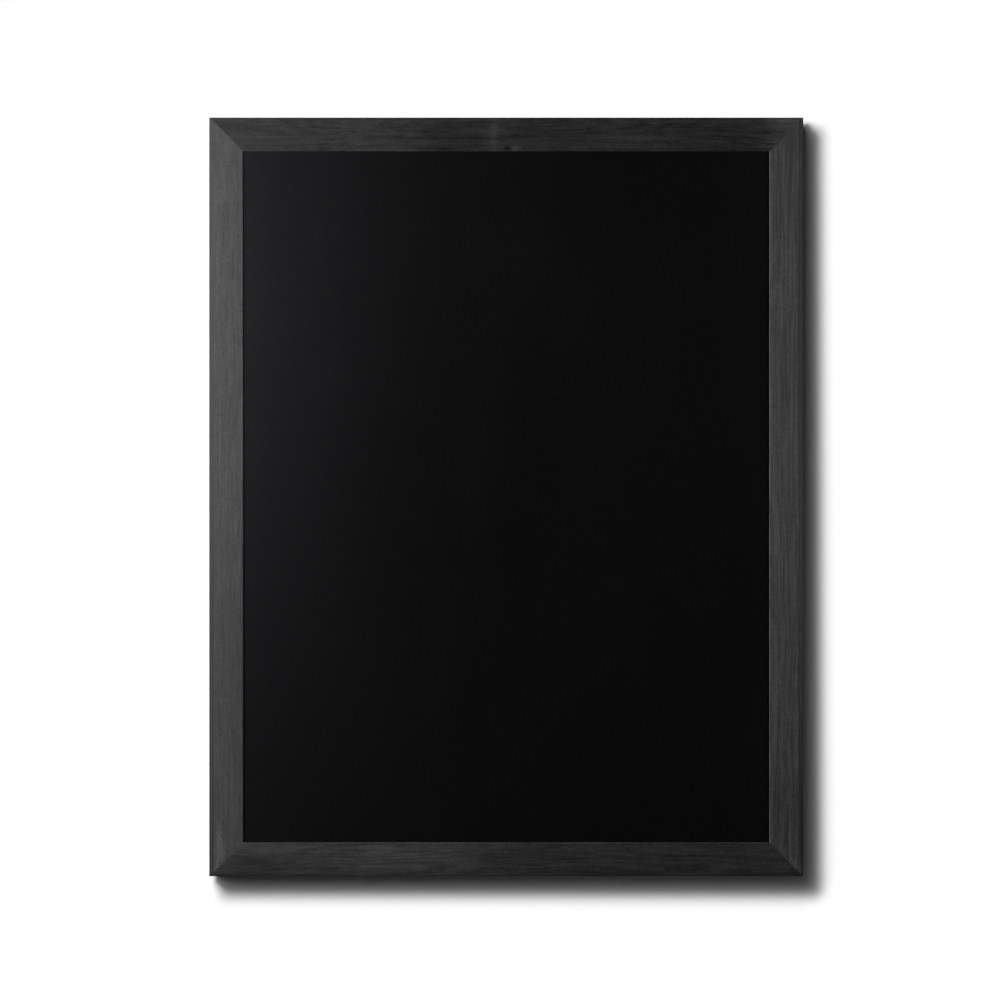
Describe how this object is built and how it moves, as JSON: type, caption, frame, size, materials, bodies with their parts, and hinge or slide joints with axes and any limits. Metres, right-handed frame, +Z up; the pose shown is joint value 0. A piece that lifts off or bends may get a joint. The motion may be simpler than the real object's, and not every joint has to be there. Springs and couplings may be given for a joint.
{
  "type": "wall chalkboard",
  "caption": "Framed wall chalkboard: black writing sheet on a hardboard back in a mitred black-stained wood moulding, hung by swinging strap rings.",
  "frame": {"origin": "on the wall plane, midway between the two hooks, at the height where the rings hang on them", "axes": "+Z up, front faces -Y, the wall is the plane Y = 0, +X is the viewer's right"},
  "size_m": [0.7, 0.0243, 0.894],
  "materials": {
    "stained_wood": "black semi-transparent stain, satin, grain along each member",
    "writing_surface": "smooth matt black writing laminate",
    "hardboard": "bare brown hardboard back",
    "bright_steel": "bright rolled steel",
    "zinc_plate": "zinc-plated steel",
    "black_rubber": "matt black rubber"
  },
  "bodies": {
    "board": {"top_rail": "stained_wood", "bottom_rail": "stained_wood", "left_stile": "stained_wood", "right_stile": "stained_wood", "writing_sheet": "writing_surface", "backing_board": "hardboard", "v_nail_top_left_outer": "bright_steel", "v_nail_top_left_inner": "bright_steel", "v_nail_top_right_outer": "bright_steel", "v_nail_top_right_inner": "bright_steel", "v_nail_bottom_left_outer": "bright_steel", "v_nail_bottom_left_inner": "bright_steel", "v_nail_bottom_right_outer": "bright_steel", "v_nail_bottom_right_inner": "bright_steel", "panel_tab_top_rail_1": "bright_steel", "panel_tab_top_rail_2": "bright_steel", "panel_tab_top_rail_3": "bright_steel", "panel_tab_bottom_rail_1": "bright_steel", "panel_tab_bottom_rail_2": "bright_steel", "panel_tab_bottom_rail_3": "bright_steel", "panel_tab_left_stile_1": "bright_steel", "panel_tab_left_stile_2": "bright_steel", "panel_tab_left_stile_3": "bright_steel", "panel_tab_left_stile_4": "bright_steel", "panel_tab_right_stile_1": "bright_steel", "panel_tab_right_stile_2": "bright_steel", "panel_tab_right_stile_3": "bright_steel", "panel_tab_right_stile_4": "bright_steel", "left_strap": "zinc_plate", "right_strap": "zinc_plate", "left_upper_screw": "bright_steel", "left_lower_screw": "bright_steel", "right_upper_screw": "bright_steel", "right_lower_screw": "bright_steel", "wall_pad_top_left": "black_rubber", "wall_pad_top_right": "black_rubber", "wall_pad_bottom_left": "black_rubber", "wall_pad_bottom_right": "black_rubber"},
    "left_hanging_ring": {"left_ring": "zinc_plate"},
    "right_hanging_ring": {"right_ring": "zinc_plate"}
  },
  "joints": [
    {"name": "left_ring_swing", "type": "hinge", "parent": "board", "child": "left_hanging_ring", "pos_m": [-0.335, -0.00335, -0.01182], "axis": [-1, 0, 0], "range_deg": [0, 186]},
    {"name": "right_ring_swing", "type": "hinge", "parent": "board", "child": "right_hanging_ring", "pos_m": [0.335, -0.00335, -0.01182], "axis": [-1, 0, 0], "range_deg": [0, 186]}
  ]
}
